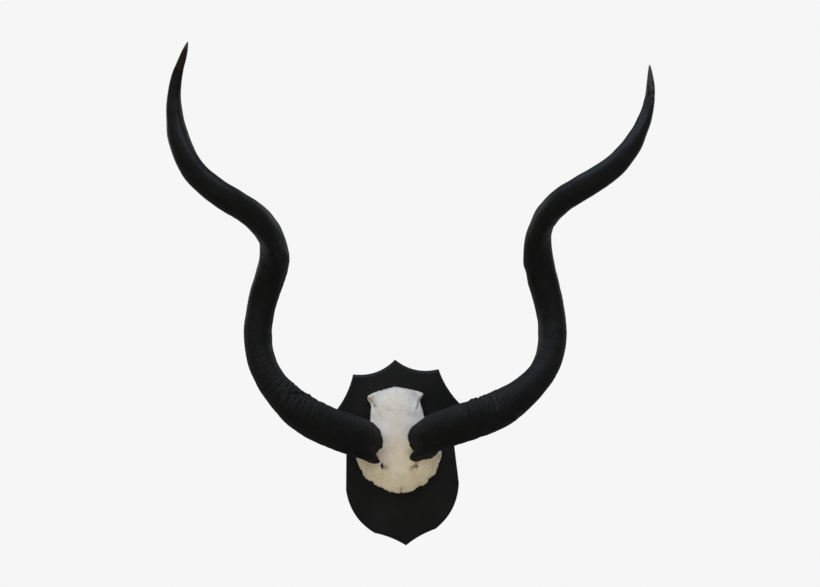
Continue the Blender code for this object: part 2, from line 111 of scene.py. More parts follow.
class Finish:
    """One surface's look: a Principled shader with fixed sockets, and the nodes that feed the others."""

    def __init__(self, name, **fixed):
        self.material = bpy.data.materials.new(name)
        self.material.use_nodes = True
        self.tree = self.material.node_tree
        self.shader = self.tree.nodes["Principled BSDF"]
        for socket, value in fixed.items():
            self.shader.inputs[socket.replace("_", " ")].default_value = value

    def node(self, kind, settings, sockets, output=0):
        """Adds a node: first its settings, then a value or a link for each of its sockets."""
        made = self.tree.nodes.new("ShaderNode" + kind)
        for setting, value in settings.items():
            setattr(made, setting, value)
        self.join(made, sockets)
        return Value(self, made.outputs[output])

    def join(self, node, sockets):
        for socket, value in sockets.items():
            if isinstance(value, Value):
                self.tree.links.new(value.socket, node.inputs[socket])
            else:
                node.inputs[socket].default_value = value

    def feed(self, sockets):
        self.join(self.shader, sockets)

    def places(self):
        return self.node("TexCoord", {}, {}, "Object")

    def mark(self, name, output="Fac"):
        """A value that the mesh carries at its points."""
        return self.node("Attribute", {"attribute_name": name}, {}, output)

    def stretched(self, places, x, y, z):
        return self.node("Mapping", {}, {"Vector": places, "Scale": (x, y, z)})

    def noise(self, places, scale, detail=3.0, roughness=0.5):
        sockets = {"Vector": places, "Scale": scale, "Detail": detail, "Roughness": roughness}
        return self.node("TexNoise", {}, sockets)

    def blend(self, mask, first, second):
        """The first colour where the mask is 0, and the second where it is 1."""
        return self.node("Mix", {"data_type": "RGBA"}, {0: mask, 6: first, 7: second}, 2)

    def layers(self, ground, *layers):
        """A ground colour with layers over it: each has a mask and then its colour, all 0 to 255."""
        shade = colour(*ground)
        for mask, *tone in layers:
            shade = self.blend(mask, shade, colour(*tone))
        return shade

    def bump(self, height, strength, distance):
        sockets = {"Height": height, "Strength": strength, "Distance": distance}
        return self.node("Bump", {}, sockets)


def colour(red, green, blue):
    """An on-screen colour, 0 to 255, as the linear values that a shader takes."""
    shown = np.array((red, green, blue)) / 255
    low, high = shown / 12.92, ((shown + 0.055) / 1.055) ** 2.4
    return (*np.where(shown <= 0.04045, low, high).tolist(), 1.0)


def unit(vectors):
    return vectors / np.linalg.norm(vectors, axis=-1, keepdims=True)


def arc_outline(half, steps):
    """The closed outline (x, z): arcs from corner to corner down the right, and their mirror.

    A point on an arc is the chord's point plus the bulge times 1 - u^2, with u from -1 to 1.
    """
    corners = np.array([corner for corner, _ in half])
    bulges = np.array([bulge for _, bulge in half[:-1]])
    chords = np.diff(corners, axis=0)
    across = unit(np.stack((-chords[:, 1], chords[:, 0]), 1))
    part = np.arange(steps) / steps
    swell = 1 - (2 * part - 1) ** 2
    right = corners[:-1, None] + part[None, :, None] * chords[:, None]
    right = right + swell[None, :, None] * (bulges[:, None] * across)[:, None]
    right = np.concatenate((right.reshape(-1, 2), corners[-1:]))
    left = right[-2:0:-1] * (-1, 1)
    return np.concatenate((right, left))


def outward(outline):
    """At each point of a clockwise outline, the outward offset that moves both its edges by 1."""
    edges = unit(np.roll(outline, -1, axis=0) - outline)
    normals = np.stack((-edges[:, 1], edges[:, 0]), 1)
    both = normals + np.roll(normals, 1, axis=0)
    return both * 2 / np.sum(both * both, axis=1, keepdims=True)


def ripples(points, wavelength, seed, count=24):
    """A smooth random field of about unit size: the sum of sine waves in random directions."""
    draw = np.random.default_rng(seed)
    directions = unit(draw.normal(size=(count, points.shape[-1])))
    directions *= 2 * math.pi / wavelength * draw.uniform(0.6, 1.5, (count, 1))
    phases = draw.uniform(0, 2 * math.pi, count)
    return math.sqrt(2 / count) * np.sin(points @ directions.T + phases).sum(-1)


def skin(name, grid, finish, marks=None):
    """A closed piece from rows of points that run round it, from one pole to the other.

    Neighbours are joined by squares, and each pole is a fan to its row's mean. The faces are
    turned outwards by the sign of the volume. Marks are values for each point, kept on the mesh.
    """
    rows, columns = grid.shape[:2]
    points = np.concatenate((grid.reshape(-1, 3), grid[:1].mean(1), grid[-1:].mean(1)))
    here = np.arange(rows * columns).reshape(rows, columns)
    right = np.roll(here, -1, axis=1)
    squares = np.stack((here[:-1], right[:-1], right[1:], here[1:]), -1).reshape(-1, 4)
    pole = np.full(columns, rows * columns)
    fans = np.concatenate((
        np.stack((right[0], here[0], pole), -1), np.stack((here[-1], right[-1], pole + 1), -1)
    ))
    triangles = np.concatenate((squares[:, :3], squares[:, [0, 2, 3]], fans))
    if np.linalg.det(points[triangles] - points.mean(0)).sum() < 0:
        squares, fans = squares[:, ::-1], fans[:, ::-1]
    mesh = bpy.data.meshes.new(name)
    mesh.from_pydata(points.tolist(), [], squares.tolist() + fans.tolist())
    for mark, values in (marks or {}).items():
        flat = values.reshape(rows * columns, -1)
        ends = [values[row].reshape(columns, -1).mean(0, keepdims=True) for row in (0, -1)]
        flat = np.concatenate((flat, *ends)).astype(np.float32)
        wide = flat.shape[1] == 3
        kept = mesh.attributes.new(mark, "FLOAT_VECTOR" if wide else "FLOAT", "POINT")
        kept.data.foreach_set("vector" if wide else "value", flat.ravel())
    mesh.shade_smooth()
    return add_piece(name, mesh, finish)


def add_piece(name, mesh, finish):
    piece = bpy.data.objects.new(name, mesh)
    bpy.context.scene.collection.objects.link(piece)
    mesh.materials.append(finish.material)
    return piece


def carve(piece, boxes, rounds):
    """Cuts boxes (middle, size) and round holes along Y (x, z, radius, y from, y to) from a piece."""
    bm = bmesh.new()
    for middle, size in boxes:
        placed = Matrix.Translation(middle) @ Matrix.Diagonal((*size, 1))
        bmesh.ops.create_cube(bm, size=1.0, matrix=placed)
    for x, z, radius, start, end in rounds:
        size = dict(radius1=radius, radius2=radius, depth=end - start)
        placed = Matrix.Translation((x, (start + end) / 2, z)) @ Matrix.Rotation(math.pi / 2, 4, "X")
        bmesh.ops.create_cone(bm, cap_ends=True, segments=48, matrix=placed, **size)
    tools = bpy.data.meshes.new("tools")
    bm.to_mesh(tools)
    bm.free()
    cutter = bpy.data.objects.new("tools", tools)
    bpy.context.scene.collection.objects.link(cutter)
    cutting = piece.modifiers.new("cut", "BOOLEAN")
    cutting.object, cutting.solver, cutting.use_self = cutter, "EXACT", True
    whole = piece.evaluated_get(bpy.context.evaluated_depsgraph_get())
    mesh = bpy.data.meshes.new_from_object(whole)
    piece.modifiers.clear()
    piece.data = mesh
    bpy.data.objects.remove(cutter, do_unlink=True)


def board_surface(columns_per_arc=20, face_rows=24):
    """Rows from the back's middle out to its edge, over the arrises and the chamfer, and in again.

    A row at the edge is the outline moved inwards by an inset, at a depth y. The back's and the
    front's other rows are the first and the last of these, scaled towards the middle.
    """
    outline = arc_outline(board_half, columns_per_arc)
    turn = np.linspace(0, math.pi / 2, 5)
    round_in, round_up = board_arris * (1 - np.sin(turn)), board_arris * (1 - np.cos(turn))
    front = -board_thickness
    over, short = np.transpose(board_chamfer_rows)
    last_over, last_short = np.transpose(board_front_rows)
    last_in = board_chamfer + board_arris * last_over
    sides = (front / 2, front + board_chamfer + board_arris)
    insets = np.concatenate((round_in, (0, 0), board_chamfer * over, last_in))
    depths = np.concatenate((-round_up, sides, front + board_chamfer * short, front + last_short))
    rim = outline[None] - insets[:, None, None] * outward(outline)[None]
    rim = np.concatenate((rim, np.broadcast_to(depths[:, None, None], (*rim.shape[:2], 1))), -1)
    inner = np.linspace(0.05, 0.98, face_rows)[:, None, None] * (1, 1, 0) + (0, 0, 1)
    grid = np.concatenate((inner * rim[0], rim, (inner * rim[-1])[::-1]))[..., [0, 2, 1]]
    off_the_wall = grid[..., 1] < -0.002
    grid[..., 1] += board_uneven * ripples(grid, 0.035, 3) * off_the_wall
    return grid


paint = Finish("black_paint", Specular_IOR_Level=0.15)
where = paint.places()
grain = paint.noise(paint.stretched(where, 260, 260, 9), 1.0, 4.0, 0.6)
strokes = paint.noise(paint.stretched(where, 420, 420, 30), 1.0, 2.0)
patches = paint.noise(where, 14.0, 4.0)
dust = paint.noise(where, 900.0, 2.0).rising(0.66, 0.78) * patches.rising(0.45, 0.75)
paint.feed({
    "Base Color": paint.layers(
        (19, 19, 18),
        (patches.rising(0.3, 0.75), 26, 26, 25),
        (grain.rising(0.55, 0.85) * 0.35, 14, 14, 12),
        (dust * 0.35, 66, 64, 60),
    ),
    "Roughness": 0.46 + patches * 0.16 + strokes * 0.08,
    "Normal": paint.bump(grain * 0.7 + strokes * 0.3, 0.35, 0.0005),
})

board = skin("board", board_surface(), paint)
pocket_y, pocket_rise = head_pocket_middle
recesses = [((x, 0.0, hanger_height), plate_recess) for x in hanger_places]
recesses += [((x, pocket_y, hanger_height + pocket_rise), head_pocket) for x in hanger_places]
bores = [(*place, *screw_head_bore) for place in screw_places]
bores += [(*place, *screw_shank_bore) for place in screw_places]
carve(board, recesses, bores)
board.data.set_sharp_from_angle(angle=math.radians(28))
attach(board, "root")
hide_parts("shield")


# ==== The bone ============================================
# The roof of the skull, sawn off behind the brows and bleached. The braincase is above with its
# flared crest, the stumps that carry the horns are at the sides, and the ragged brow edge is below.

skull_middle = -0.0045  # x of the skull's own midline
bone_back = -0.0203  # its sawn back, which lies on the board
bone_middle = (0.0, 0.05)  # (x, z) from the midline that the surface's rows run round
bone_thin = 0.01  # thickness at the thin edges
bone_round = 0.0032  # radius of the worn edge
bone_worn = 0.0004  # how much the saw and wear took off the outline
bone_ragged = (0.00016, 0.00026, 0.0003)  # of the outline everywhere, and more at the brow and the crest
bone_sawn = 0.00018  # how rough its sawn wall is
bone_outline = 0.001 * np.array((  # (x, z) from the midline, clockwise from the top, in millimetres
    (0.5, 133.1), (8.5, 132.5), (17, 129.6), (26, 127.6), (34.5, 125.3), (43, 122.8), (48.5, 120.2),
    (52.5, 118.4), (56.7, 116.6), (56.2, 113.6), (52, 108.3), (50, 105.8), (48.7, 103.5), (48.3, 101),
    (49, 95.5), (51.5, 87.5), (53.5, 76.5), (53.8, 71.5), (62, 66.5), (84, 61), (104, 54), (106.5, 38),
    (104, 24), (95, 15.5), (86.2, 8.5), (83, 4.6), (84.6, 0.8), (84.8, -4), (84.5, -9.5), (81.5, -16.5),
    (77.7, -24), (75.2, -29.5), (73.8, -35.5), (71.4, -42), (66.5, -47.2), (59.5, -49.2), (56.5, -51.2),
    (54.5, -56.8), (51.5, -60.2), (46.5, -64), (43, -65), (37.5, -64.5), (35, -65.8), (29, -70.7),
    (19, -75.7), (12.5, -75.7), (6, -76.7), (1.3, -76.2), (0.3, -71.2), (-0.8, -75.8), (-6.5, -76.5),
    (-12.5, -75.7), (-15, -73.2), (-22, -73), (-30, -68.2), (-38, -62.7), (-43, -61.2), (-47.5, -58.7),
    (-53.2, -53.5), (-56.8, -48.6), (-65.5, -46.2), (-73.2, -36), (-74.8, -28.5), (-79, -22),
    (-81.8, -13.5), (-84.5, -7), (-85.6, -1), (-85.2, 3), (-94, 13.5), (-104, 23), (-106.5, 38),
    (-104, 54), (-84, 61), (-64, 66), (-53.5, 68.8), (-52.5, 75.5), (-51.7, 83), (-50, 95), (-50.1, 101),
    (-50.2, 103.2), (-51.5, 105.8), (-55.6, 109.2), (-56.6, 114), (-54.9, 118), (-51, 119.5),
    (-40, 124.9), (-31.5, 127.2), (-28.5, 127.6), (-20, 129.9), (-11, 131.1), (-7, 132.8),
))
# The bone's other tables are in millimetres and degrees too.
bone_masses = (  # (x, z), half width, half height, turn, and how far it stands out
    (0, 62, 60, 80, 0, 54),  # braincase
    (0, 18, 96, 105, 0, 56),  # forehead
    (-69.5, 39, 50, 50, 0, 57),  # stump of the left horn
    (57.5, 33, 50, 50, 0, 57),  # stump of the right horn
)
bone_dents = (  # (x, z), half width, half height, turn, and depth; a rise is below zero
    (-46.2, 104.5, 5.8, 12.5, 20, 6.2),  # temples
    (44, 98.5, 2.6, 10, -24, 1.5),
    (-42.5, 99.8, 2.2, 1.7, 20, 2.2),
    (45, 100.8, 1.4, 2.6, -24, 1.8),
    (-35, 83, 3.4, 6.4, 8, 0.9),
    (26, 81.2, 6.2, 4, 15, 0.5),
    (35.2, 78.5, 4.5, 5, 0, 0.5),
    (2, 124.5, 3, 7, 0, 0.5),
    (-20, 124, 14, 3.5, 14, -1),  # swellings below the crest
    (24, 123.5, 14, 3.5, -14, -1),
    (0, 98, 22, 8, 0, -0.9),
    (-33, -24, 11, 15, 12, 1.6),  # hollows round the holes of the forehead
    (31, -26, 12, 15, -12, 1.8),
    (0, -15, 12, 30, 0, -1),
    (-62, -20, 13, 10, 30, -1.2),
    (62, -19, 13, 10, -30, -1.2),
)
bone_holes = (  # (x, z), half width, half height, turn and depth
    (-35.2, -17, 2.4, 5, 4, 12),
    (32.2, -20.5, 2.3, 3.6, 35, 4.8),
    (31, -14.1, 1.3, 1.1, 0, 4.2),
    (36.2, -15.6, 1.1, 1.1, 0, 3.6),
    (33.8, -14.2, 0.6, 0.6, 0, 1.2),
    (-26.8, 90.5, 0.7, 0.7, 0, 1),
    (-23.2, 73.8, 0.8, 0.7, 0, 1),
    (11.8, -65.5, 0.7, 0.6, 0, 1),
    (-12.5, -67.2, 0.8, 0.6, 0, 1.1),
    (59, -30, 0.7, 1, 0, 1),
)
bone_seams = (  # corners of a line (x, z), its half width, and its depth; a ridge is below zero
    (((3.2, 133.5), (2.6, 127), (1, 120)), 1.2, 0.3),
    (((-31, 96.5), (-25.5, 99), (-21.5, 95.5), (-18.5, 98.5), (-19, 90.5),
      (-14, 92.5), (-8.5, 90.5), (-5, 85), (-1, 83.5), (4, 84.5),
      (7.5, 88), (12, 91.5), (18, 88.5), (23.5, 92), (31, 94)), 0.7, 0.6),
    (((8.5, 104), (7, 101), (9.2, 98.5), (7.8, 95)), 0.7, 0.6),
    (((-6, 106), (-3, 103.5), (-4.5, 100.5)), 0.7, 0.3),
    (((48, 107.2), (44.8, 100.2), (41.3, 92.3), (38.8, 86.9)), 1.3, 0.6),
    (((0.3, -74.5), (-0.4, -69), (-1, -64.5)), 0.7, 1.8),
    (((-1, -65.5), (-3.5, -66.8), (-6, -65.5), (-8.5, -66.5)), 0.7, 0.5),
    (((-1, -64.5), (0.8, -54), (-0.7, -43), (0.5, -35)), 0.6, 0.2),
    (((-53, 117), (-43.5, 108.5), (-38.5, 100), (-37.5, 92)), 3.4, -1),
    (((54, 115.5), (42.5, 109), (39.5, 101), (39.8, 94)), 3.4, -1.2),
    (((-52, 116), (-30, 124), (0, 130.5), (30, 124.5), (53, 114.5)), 4, -1),
)


def bell(value, middle=0.0, half_width=1.0):
    """1 at the middle, and e to minus the square of the distance in half widths elsewhere."""
    return np.exp(-(((value - middle) / half_width) ** 2))


def held(value):
    """The value, held between 0 and 1."""
    return np.clip(value, 0, 1)


def oval_reach(x, z, spot):
    """How far out (x, z) is in a turned oval in millimetres: 0 at its middle and 1 on its rim."""
    middle_x, middle_z, half_width, half_height, turn = spot[:5]
    cos, sin = math.cos(math.radians(turn)), math.sin(math.radians(turn))
    right, up = 1000 * x - middle_x, 1000 * z - middle_z
    return np.hypot((right * cos + up * sin) / half_width, (up * cos - right * sin) / half_height)


def line_distance(x, z, corners):
    """The distance from (x, z) to the nearest point of a line of straight pieces."""
    nearest = np.inf
    for (x0, z0), (x1, z1) in zip(corners, corners[1:]):
        length = math.hypot(x1 - x0, z1 - z0)
        part = held(((x - x0) * (x1 - x0) + (z - z0) * (z1 - z0)) / length**2)
        nearest = np.minimum(nearest, np.hypot(x - x0 - part * (x1 - x0), z - z0 - part * (z1 - z0)))
    return nearest


def seams(x, z):
    """For each seam, a mask and its depth. The places wander by 0.7 mm, so that none is straight."""
    place = np.stack((x, z), -1)
    x, z = x + 0.0007 * ripples(place, 0.006, 11), z + 0.0007 * ripples(place, 0.006, 12)
    for corners, half_width, depth in bone_seams:
        yield bell(line_distance(1000 * x, 1000 * z, corners), 0, half_width), depth


def bone_height(x, z):
    """How far the bone's front stands off its back at (x, z) from the midline.

    The ellipsoids of the masses and the thin edge, blended as the eighth root of the sum of their
    eighth powers, less the dents as Gaussians, the holes as steeper ones, and the seams.
    """
    total = (1000 * bone_thin) ** 8 + 0.0 * x
    for mass in bone_masses:
        total = total + (mass[5] * np.sqrt(np.maximum(1 - oval_reach(x, z, mass) ** 2, 0))) ** 8
    height = total ** (1 / 8)
    for spot in bone_dents:
        height = height - spot[5] * bell(oval_reach(x, z, spot))
    for spot in bone_holes:
        height = height - spot[5] * bell(oval_reach(x, z, spot) ** 2)
    for seam, depth in seams(x, z):
        height = height - depth * seam
    place = np.stack((x, z), -1)
    return 0.001 * (height + 0.14 * ripples(place, 0.015, 13) + 0.05 * ripples(place, 0.005, 14))


def bone_rim(columns=640):
    """The outline at even steps, its corners eased by two passes of a small average, and worn ragged."""
    closed = np.concatenate((bone_outline, bone_outline[:1]))
    length = np.concatenate(((0.0,), np.cumsum(np.linalg.norm(np.diff(closed, axis=0), axis=1))))
    even = np.linspace(0, length[-1], columns, endpoint=False)
    rim = np.stack([np.interp(even, length, closed[:, axis]) for axis in (0, 1)], 1)
    for _ in range(2):
        rim = (np.roll(rim, 1, axis=0) + 2 * rim + np.roll(rim, -1, axis=0)) / 4
    brow = held(-rim[:, 1] / 0.03)[:, None]
    crest = held((rim[:, 1] - 0.118) / 0.004)[:, None]
    everywhere, more_at_brow, more_at_crest = bone_ragged
    ragged = everywhere + more_at_brow * brow + more_at_crest * crest
    return rim + (ragged * ripples(rim, 0.0065, 21)[:, None] - bone_worn) * outward(rim)


def bone_surface(back_rows=6, wall_rows=12, front_rows=112):
    """Rows from the back's middle out to its edge, up the wall, over the worn edge and in over the front.

    A row is the rim scaled towards the middle by a part. The back is flat, the wall rises evenly,
    and a front row is at the bone's height there. Within bone_round of the rim the height drops on
    a quarter circle.
    """
    rim = bone_rim()
    reach = np.linalg.norm(rim - bone_middle, axis=1)
    turn = np.linspace(math.pi / 2, 0, 7)[:-1]
    over_edge = 1 - bone_round * (1 - np.sin(turn))[:, None] / reach
    inwards = 1 - np.linspace(0, 1, front_rows)[:, None] ** 1.06 * 0.985
    parts = np.concatenate((
        np.linspace(0.1, 0.95, back_rows)[:, None] + 0 * reach,
        np.ones((wall_rows, 1)) + 0 * reach,
        over_edge,
        (1 - bone_round / reach) * inwards,
    ))
    flat = bone_middle + parts[..., None] * (rim - bone_middle)
    height = bone_height(flat[..., 0], flat[..., 1])
    within = np.clip(bone_round - (1 - parts) * reach, 0, bone_round)
    height = height - bone_round + np.sqrt(bone_round**2 - within**2)
    wall = slice(back_rows, back_rows + wall_rows)
    height[:back_rows] = 0
    height[wall] *= np.linspace(0, 1, wall_rows)[:, None]
    grid = np.stack((flat[..., 0], bone_back - height, flat[..., 1]), -1)
    rough = bone_sawn * ripples(grid[wall], 0.003, 23)[..., None] * np.insert(outward(rim), 1, 0, axis=1)
    grid[wall][1:-1] += rough[1:-1]
    return grid


def spots(x, z, ovals):
    """A soft mask: the sum of Gaussians over turned ovals, each with its own strength, kept below 1."""
    return held(sum(oval[5] * bell(oval_reach(x, z, oval)) for oval in ovals))


bone_streaks = (  # where stain has run: a line's corners (x, z), its half width and its strength
    (((-34.8, -21.5), (-33.5, -33)), 2.2, 0.12),
    (((-33, -20.5), (-23.5, -29)), 2.4, 0.16),
    (((31.5, -22.5), (33, -31)), 2, 0.26),
    (((30, -22.5), (20.5, -29)), 3.4, 0.3),
    (((30, -20.5), (21.5, -22.5)), 2.6, 0.3),
    (((-59, -8), (-66, -24)), 1.3, 0.24),
    (((-52, -8), (-57, -25)), 1.2, 0.2),
    (((52, -8), (55, -20)), 1.3, 0.14),
)


def bone_marks(grid):
    """Masks for the bone's colours, as functions of (x, z): its stains and tones, and painted shade and
    light.
    """
    x, z = grid[..., 0], grid[..., 2]
    place = np.stack((x, z), -1)
    fade_top, fade_height = 0.058, 0.085  # below the top the bone turns cream, over this height
    fade = held((fade_top - z + 0.01 * ripples(place, 0.03, 31)) / fade_height)
    # Brown stains round the holes of the forehead, at the crest's corners and where stain has run, and
    # painted shade in the temples' hollows and the right temple's slit.
    stain_and_shade = spots(x, z, (
        (-55.2, 112.5, 3.6, 4.2, 30, 1.0), (-48.6, 108.5, 2, 5.2, 20, 0.6),
        (54.8, 112.8, 3.2, 3, -40, 0.9), (49.5, 107.8, 2, 3.6, -30, 0.6),
        (-42.5, 99.8, 2.6, 1.6, 20, 0.7), (-29, -19.5, 6.2, 5.2, 5, 0.75), (-35, -10, 3.6, 2, 0, 0.4),
        (28, -21.4, 5.8, 3.2, 8, 0.75), (23.5, -24.5, 6, 5, 20, 0.5), (33.5, -28, 1.8, 5.2, 0, 0.5),
        (32.5, -15, 5, 2.2, 0, 0.35), (-19, 93.5, 5, 5, 0, 0.1), (44.8, 100.5, 1.8, 8, -24, 0.35),
        (35, -23, 3, 3, 0, 0.4), (1, -64, 4, 5, 0, 0.35), (-44, 3, 3, 3, 0, 0.3),
        (25, 8.5, 2.5, 3, 0, 0.25),
    ))
    for corners, half_width, strength in bone_streaks:
        away = line_distance(1000 * x, 1000 * z, corners) + 0.5 * ripples(place, 0.005, 33)
        stain_and_shade = np.maximum(stain_and_shade, strength * bell(away, 0, half_width))
    yellow = spots(x, z, (
        (-60.5, -19, 13, 12, 0, 0.9), (64, -15, 13, 11, 0, 0.9), (30, -44, 17, 13, 10, 0.9),
        (-33.5, -39, 19, 10, -20, 0.8), (0, 18, 16, 16, 0, 0.35), (-25, 106, 10, 8, 0, 0.3),
        (10, -5, 20, 12, 0, 0.3),
    ))
    # Painted shade: grey in the temples and the small hollows of the forehead, at the crest's middle and
    # under the right brow's tip.
    grey_shade = spots(x, z, (
        (-35, 83, 3.6, 7, 8, 0.45), (24.5, 81.5, 7, 4.4, 10, 0.35), (35.2, 78.5, 4.8, 5.6, 0, 0.35),
        (2.2, 125, 4, 7.5, 0, 0.14), (20, 11, 5, 6, 0, 0.12), (50, 85, 3, 12, 0, 0.35),
        (44, 98.5, 1.8, 11, -24, 0.35), (-46.2, 104, 3.6, 10, 22, 0.6), (78.5, -9.5, 5, 6, 0, 0.6),
        (-47, 78, 5, 10, 0, 0.4), (26, 108, 5, 5, 0, 0.1),
    ))
    # Whiter patches of the bleached bone, and painted light on the brow tips and on the ridges beside the
    # right temple's slit.
    pale_and_lit = spots(x, z, (
        (-27, 56, 15, 14, 30, 0.9), (30, 67, 16, 10, -30, 0.9), (-84, -2, 5, 5, 0, 1.0),
        (83.5, 1, 4.5, 6, 0, 1.0), (-32, 112, 8, 8, 0, 0.3), (39.5, 104, 3, 14, -24, 0.8),
        (48, 93, 3, 11, -12, 0.6), (30, 96, 11, 12, 0, 0.7), (0, -28, 15, 20, 0, 0.15),
    ))
    band = line_distance(1000 * x, 1000 * z, ((-15, 113.5), (0.5, 114), (17, 115.5)))
    pink = bell(band, 0, 4) * held(0.75 + 0.5 * ripples(place, 0.012, 32))
    pink = np.maximum(pink, 0.8 * spots(x, z, ((-2, 96, 34, 16, 0, 1.0),)))
    # Painted shade in the holes and along the seams, darker the deeper they are.
    dark_hole, dark_seam = 8.5, 3.0  # depths from which they are quite dark
    deep = sum(bell(oval_reach(x, z, spot) ** 2) * min(spot[5] / dark_hole, 1) for spot in bone_holes)
    for seam, depth in seams(x, z):
        deep = deep + held(depth / dark_seam) * seam
    return dict(
        fade=fade, stain_and_shade=stain_and_shade, yellow=yellow, grey_shade=grey_shade, pale_and_lit=pale_and_lit, pink=pink, deep=held(deep)
    )


bone = Finish("bone", Specular_IOR_Level=0.22)
where = bone.places()
cloud = bone.noise(where, 55.0, 5.0, 0.6)
fine = bone.noise(where, 420.0, 4.0, 0.6)
mottle = bone.noise(where, 130.0, 4.0, 0.6)
freckles = bone.noise(where, 190.0, 5.0, 0.65)
pores = bone.node("TexVoronoi", {}, {"Vector": where, "Scale": 520.0}).rising(0.16, 0.04)
pores = pores * bone.noise(where, 90.0, 2.0).rising(0.5, 0.66)
bone.feed({
    "Base Color": bone.layers(
        (198, 194, 183),
        (bone.mark("fade"), 228, 215, 184),
        (bone.mark("yellow") * (cloud * 1.1), 212, 188, 140),
        (cloud.rising(0.42, 0.72) * 0.42, 198, 184, 158),
        (mottle.rising(0.46, 0.66) * 0.34, 192, 177, 154),
        # pale patches, and painted light on the brow tips and the temple's ridges
        (bone.mark("pale_and_lit") * 0.75, 213, 211, 208),
        # painted shade in the hollows
        (bone.mark("grey_shade") * (0.6 + cloud * 0.5), 150, 146, 140),
        (bone.mark("pink") * freckles.rising(0.44, 0.6) * 0.6, 184, 166, 143),
        # brown stains, and painted shade in the temples
        (bone.mark("stain_and_shade") * (0.55 + fine * 0.6), 130, 99, 54),
        # painted shade in the holes and seams
        (bone.mark("deep"), 46, 32, 20),
        (fine.rising(0.6, 0.85) * 0.22, 168, 148, 122),
        (pores * 0.45, 120, 98, 74),
    ),
    "Roughness": 0.56 + cloud * 0.14,
    "Normal": bone.bump(fine * 0.5 + cloud * 0.3 - pores * 0.7, 0.5, 0.0006),
})

bone_grid = bone_surface()
bone_masks = bone_marks(bone_grid)
bone_grid[..., 0] += skull_middle
skull = skin("skull", bone_grid, bone, bone_masks)
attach(skull, "root")
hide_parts("skull_plate")


# ==== The horns ===========================================
# Two spiral horns of black keratin, each grown over its stump of bone. A keel winds up the body,
# which is ringed by growth on the side away from the keel near the base and smooth towards the tip.

horn_body = 0.054  # long diameter of the shaft
horn_flare = (0.027, 0.17)  # extra diameter at the base, and the part of the length it fades over
horn_taper = (3.8, 0.65)  # the shaft narrows as (1 - part^first)^second of its length
horn_oval = 0.89  # its short diameter over its long one
keel_lead = 84.0  # degrees by which the keel runs ahead of the winding's outer side
keel_height = (0.11, 0.41, 0.75)  # of the radius; its half width in radians; where it has faded out
keel_roll = (0.08, 0.05)  # extra height at the base, and the part of the length it fades over
horn_root = 0.045  # how far the centre line runs straight on into the bone
horn_sunk = 0.0015  # how deep the horn's edge is in the bone
base_reach = (0.095, 0.045)  # how far along the notch's shallow and its deep part fade out
notch_opens = (48, 31, 1.2)  # degrees before the keel, degrees over which it deepens, and the power
notch_shuts = 3.5  # degrees over which its far edge rises
away_side = 186  # degrees from the keel to the middle of the ringed side
laid_out = 0.036  # the radius at which an angle is laid out as a distance
ring_depth, ring_reach = 0.0017, 0.038  # at the strongest ring, and how far along they fade
ring_swells = ((0.0007, 0.125, 0.045), (0.00022, 0.33, 0.11))  # weaker ones: depth, distance, reach
fold_depth = 0.0026
ring_span, fold_span = 66, 88  # degrees that they reach to each side
wrinkle_depth, wrinkle_spacing = 0.00055, 0.0049
wrinkle_middle, wrinkle_reach = 0.022, 0.036  # where along the horn
fleck_size = (0.0015, 3)  # half length, and half width in degrees
fleck_pale = 2.2  # the strength of their colour
tip_step = 0.00035  # how far the black outer layer stands off the paler tip
tip_end = (0.016, 0.014)  # the worn end of the tip: its length, and the blur of its edge
horn_stations = 0.1 + 0.04 * np.arange(24)  # of girth and sway, which are in tenths of a millimetre

